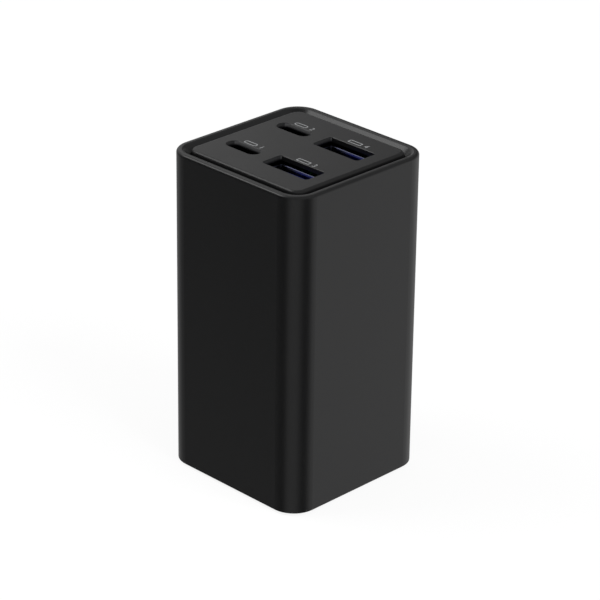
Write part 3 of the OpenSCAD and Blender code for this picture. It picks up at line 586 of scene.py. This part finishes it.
def winding_tape():
    """Polyester tape in overlapping turns."""
    finish = Finish("winding_tape", (0.68, 0.45, 0.03), 0.3, Coat_Weight=0.2)
    laps = finish.bands(2.2, "Z", 0.6)
    finish.color(laps, [(0.1, (0.52, 0.32, 0.02)), (0.5, (0.70, 0.47, 0.04))])
    finish.rough(finish.noise(1.5), 0.24, 0.38)
    return finish.bump(laps, 0.05)


def film_case():
    return moulded("film_case", (0.58, 0.42, 0.10), 0.36, depth=0.006)


def can_sleeve():
    """Shrink sleeve, drawn tight along the can."""
    finish = moulded("can_sleeve", (0.012, 0.013, 0.018), 0.24, grain=0.5, depth=0.006)
    return finish.bump(finish.noise(1.6, 2.0, (1, 6, 1)), 0.03)


def dipped(name, color):
    """Epoxy coating with an uneven glossy skin."""
    finish = Finish(name, color, 0.22, Coat_Weight=0.3)
    lumps = finish.noise(1.8)
    finish.color(lumps, between(shaded(color, 0.85), color))
    finish.rough(finish.noise(0.7), 0.16, 0.3)
    return finish.bump(lumps, 0.12)


def disc_coating():
    return dipped("disc_coating", (0.03, 0.13, 0.42))


def thermistor_coating():
    return dipped("thermistor_coating", (0.03, 0.12, 0.05))


def insulation_film():
    finish = moulded("insulation_film", (0.66, 0.65, 0.58), 0.3, grain=1.0)
    return finish.bump(finish.noise(6.0, 1.0), 0.1)


def thermal_pad():
    finish = moulded("thermal_pad", (0.22, 0.25, 0.30), 0.75, grain=0.3, depth=0.02)
    return finish.bump(finish.noise(1.2), 0.05)


def mark_print():
    """Grey ink printed on the port plate."""
    return moulded("mark_print", (0.29, 0.295, 0.30), 0.55, grain=0.12, depth=0.002)


FINISHES = (
    housing_plastic, plate_plastic, foot_rubber, inlet_plastic, pin_metal, shell_metal,
    blue_plastic, black_plastic, contact_gold, circuit_board, screw_steel, chip_black,
    ferrite, copper_wire, winding_tape, film_case, can_sleeve, can_metal, disc_coating,
    thermistor_coating, spreader_metal, insulation_film, thermal_pad,
)


def dress_nodes():
    """Gives each CAD node the material of its slot in the record."""
    made = {finish.__name__: finish().material for finish in FINISHES}
    for part in frame["record"]["subparts"]:
        node = frame["nodes"][part["node"]]
        node.data.materials.clear()
        node.data.materials.append(made[part["material_slot"]])


# The port plate's openings lie within these distances of its middle
OPENINGS_X = 14 * MM
OPENINGS_Y = 11.5 * MM
# Material slots of the port plate after its own
WALL_SLOT = 1
SIDE_SLOT = 2


def dress_openings():
    """Gives the matt finishes to the small openings' walls and the large ones' left ends."""
    plate = frame["nodes"]["port_plate"].data
    plate.materials.append(opening_wall().material)
    plate.materials.append(far_wall_painted_light().material)
    for face in plate.polygons:
        middle, normal = face.center, face.normal
        small = middle.x < 0
        inside = abs(middle.x) < OPENINGS_X and abs(middle.y) < OPENINGS_Y
        upright = abs(normal.z) < 0.5
        # Painted light: these walls get paler copies of the plate's own plastic
        if inside and upright and (small or normal.x > 0.5):
            # The small openings' long far walls get the palest painted light
            far_side = small and normal.y < -0.7
            face.material_index = SIDE_SLOT if far_side else WALL_SLOT


# Bevelled rim on the mouth of each large port's shell
RIM_W = 12.5 * MM
RIM_D = 5.12 * MM
RIM_R = 0.4 * MM
RIM_SIZE = 0.12 * MM
RIM_DEPTH = 2 * MM
RIM_X = 6.3 * MM
RIM_Y = 7.55 * MM

# Printed marks: a small outline of the port and the port's number
MARK_T = 0.03 * MM
MARK_PROUD = 0.01 * MM
MARK_LINE = 0.25 * MM
ICON_W = 3.7 * MM
ICON_H = 1.3 * MM
ICON_CORNER = 0.25 * MM
PILL_CORNER = ICON_H / 2 - 0.001 * MM
NUMBER_SIZE = 2.0 * MM
MARK_GAP = 0.9 * MM
# Name of each mark, its middle in millimetres, its number and whether its port is pill-shaped
MARKS = [
    ("mark_1", (-8.45, -4.8), "1", True),
    ("mark_2", (-8.45, 10.4), "2", True),
    ("mark_3", (6.45, -3.7), "3", False),
    ("mark_4", (6.6, 11.75), "4", False),
]

# Steps of each rounded corner of a rim or mark, and how near two points are one
CORNER_STEPS = 8
MERGE = 1e-7


def outline(w, h, r):
    """Points round a rounded rectangle, anticlockwise."""
    points = []
    for turn, (sx, sy) in enumerate(((1, 1), (-1, 1), (-1, -1), (1, -1))):
        for i in range(CORNER_STEPS + 1):
            angle = math.pi / 2 * (turn + i / CORNER_STEPS)
            x = sx * (w / 2 - r) + r * math.cos(angle)
            y = sy * (h / 2 - r) + r * math.sin(angle)
            points.append((x, y))
    return points


def closed_ring(mesh, rows):
    """Adds a ring through rows of points and their heights, the last row joined to the first."""
    rings = [[mesh.verts.new((x, y, z)) for x, y in points] for points, z in rows]
    for k, low in enumerate(rings):
        high = rings[(k + 1) % len(rings)]
        for i in range(len(low)):
            j = (i + 1) % len(low)
            mesh.faces.new((low[i], low[j], high[j], high[i]))


def ring_mesh(mesh, w, h, r, line, z0, z1):
    """Adds a closed ring between two rounded rectangles, from z0 up to z1."""
    outer = outline(w, h, r)
    inner = outline(w - 2 * line, h - 2 * line, max(r - line, line / 4))
    closed_ring(mesh, ((outer, z0), (outer, z1), (inner, z1), (inner, z0)))


def number_mesh(text, size):
    """Mesh of one numeral, MARK_T thick, centred on the origin."""
    curve = bpy.data.curves.new("numeral", "FONT")
    curve.body = text
    curve.size = size
    curve.extrude = MARK_T / 2
    curve.align_x = "CENTER"
    curve.align_y = "CENTER"
    curve.resolution_u = 4
    holder = bpy.data.objects.new("numeral", curve)
    bpy.context.scene.collection.objects.link(holder)
    bpy.context.view_layer.update()
    made = holder.evaluated_get(bpy.context.evaluated_depsgraph_get())
    mesh = bpy.data.meshes.new_from_object(made)
    bpy.data.objects.remove(holder)
    bpy.data.curves.remove(curve)
    return mesh


def make_mark(name, middle, number, pill, ink):
    low = TOP + MARK_PROUD - MARK_T
    high = TOP + MARK_PROUD
    work = bmesh.new()
    corner = PILL_CORNER if pill else ICON_CORNER
    ring_mesh(work, ICON_W, ICON_H, corner, MARK_LINE, low, high)
    shift = Matrix.Translation((-(NUMBER_SIZE / 2 + MARK_GAP) / 2, 0, 0))
    bmesh.ops.transform(work, matrix=shift, verts=work.verts)
    digit = number_mesh(number, NUMBER_SIZE)
    digit.transform(Matrix.Translation(((ICON_W + MARK_GAP) / 2, 0, (low + high) / 2)))
    work.from_mesh(digit)
    bpy.data.meshes.remove(digit)
    bmesh.ops.remove_doubles(work, verts=work.verts, dist=MERGE)
    bmesh.ops.recalc_face_normals(work, faces=work.faces)
    mesh = bpy.data.meshes.new(name)
    work.to_mesh(mesh)
    work.free()
    mesh.materials.clear()
    mesh.materials.append(ink)
    mark = bpy.data.objects.new(name, mesh)
    mark.location = (middle[0] * MM, middle[1] * MM, 0)
    bpy.context.scene.collection.objects.link(mark)
    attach(mark, "root")


def make_rim(name, y, metal):
    """Bevelled rim on the mouth of a large port's shell."""
    work = bmesh.new()
    inner = outline(RIM_W, RIM_D, RIM_R)
    outer = outline(RIM_W + 2 * RIM_SIZE, RIM_D + 2 * RIM_SIZE, RIM_R + RIM_SIZE)
    closed_ring(work, ((inner, 0), (outer, RIM_SIZE), (outer, 0)))
    bmesh.ops.recalc_face_normals(work, faces=work.faces)
    mesh = bpy.data.meshes.new(name)
    work.to_mesh(mesh)
    work.free()
    mesh.materials.append(metal)
    rim = bpy.data.objects.new(name, mesh)
    rim.location = (RIM_X, y, TOP - RIM_DEPTH)
    bpy.context.scene.collection.objects.link(rim)
    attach(rim, "root")


def make_rims():
    metal = rim_metal().material
    make_rim("port_rim_front", -RIM_Y, metal)
    make_rim("port_rim_rear", RIM_Y, metal)


def make_marks():
    ink = mark_print().material
    for name, middle, number, pill in MARKS:
        make_mark(name, middle, number, pill, ink)


bpy.context.scene.view_settings.view_transform = "Standard"
make_camera()
make_world()
make_floor()
for lamp_row in LAMPS:
    make_lamp(*lamp_row)
dress_nodes()
dress_openings()
make_rims()
make_marks()
